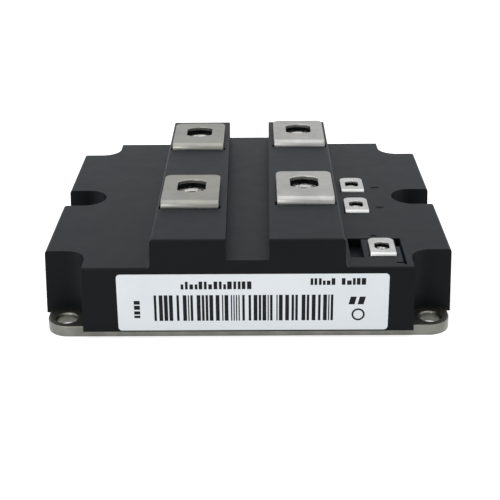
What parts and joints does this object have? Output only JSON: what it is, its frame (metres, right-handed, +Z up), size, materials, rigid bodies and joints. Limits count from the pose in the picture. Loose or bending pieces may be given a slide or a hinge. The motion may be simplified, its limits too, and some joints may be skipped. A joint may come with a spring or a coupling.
{
  "type": "igbt module",
  "caption": "Flat power transistor module with screw terminals on a raised plateau, auxiliary tabs and a metal base plate with mounting holes.",
  "frame": {"origin": "centre of the base plate's cooling face", "axes": "+X to the right along the label side, +Y from the label side to the rear, +Z up out of the cooling face"},
  "size_m": [0.14, 0.1301, 0.038],
  "materials": {
    "nickel_plate": "satin nickel plating on copper",
    "black_plastic": "matte moulded glass-filled plastic, near black",
    "adhesive": "cured silicone bead",
    "gel": "clear soft silicone gel",
    "label": null,
    "main_terminal": "nickel-plated copper sheet",
    "aux_terminal": "tin-plated copper sheet",
    "nut_steel": "zinc-plated steel",
    "lead_insulation": "red lead insulation",
    "bond_wire": "bare aluminium wire",
    "solder": "dull solder",
    "copper": "bare copper",
    "ceramic": "white alumina ceramic",
    "silicon": "metallised silicon"
  },
  "bodies": {
    "root": {"base_plate": "nickel_plate", "housing": "black_plastic", "housing_adhesive": "adhesive", "gel": "gel", "label": "label", "collector_terminal_front": "main_terminal", "collector_terminal_rear": "main_terminal", "emitter_terminal_front": "main_terminal", "emitter_terminal_rear": "main_terminal", "gate_terminal": "aux_terminal", "emitter_sense_terminal": "aux_terminal", "collector_sense_terminal": "aux_terminal", "m8_nuts": "nut_steel", "m4_nuts": "nut_steel", "gate_lead": "lead_insulation", "gate_jumpers": "bond_wire", "solder_front_left": "solder", "solder_front_right": "solder", "solder_rear_left": "solder", "solder_rear_right": "solder", "back_copper_front_left": "copper", "back_copper_front_right": "copper", "back_copper_rear_left": "copper", "back_copper_rear_right": "copper", "ceramic_front_left": "ceramic", "ceramic_front_right": "ceramic", "ceramic_rear_left": "ceramic", "ceramic_rear_right": "ceramic", "circuit_front_left": "copper", "circuit_front_right": "copper", "circuit_rear_left": "copper", "circuit_rear_right": "copper", "igbt_chips_front_left": "silicon", "igbt_chips_front_right": "silicon", "igbt_chips_rear_left": "silicon", "igbt_chips_rear_right": "silicon", "diode_chips_front_left": "silicon", "diode_chips_front_right": "silicon", "diode_chips_rear_left": "silicon", "diode_chips_rear_right": "silicon", "bond_wires_front_left": "bond_wire", "bond_wires_front_right": "bond_wire", "bond_wires_rear_left": "bond_wire", "bond_wires_rear_right": "bond_wire"}
  },
  "joints": []
}
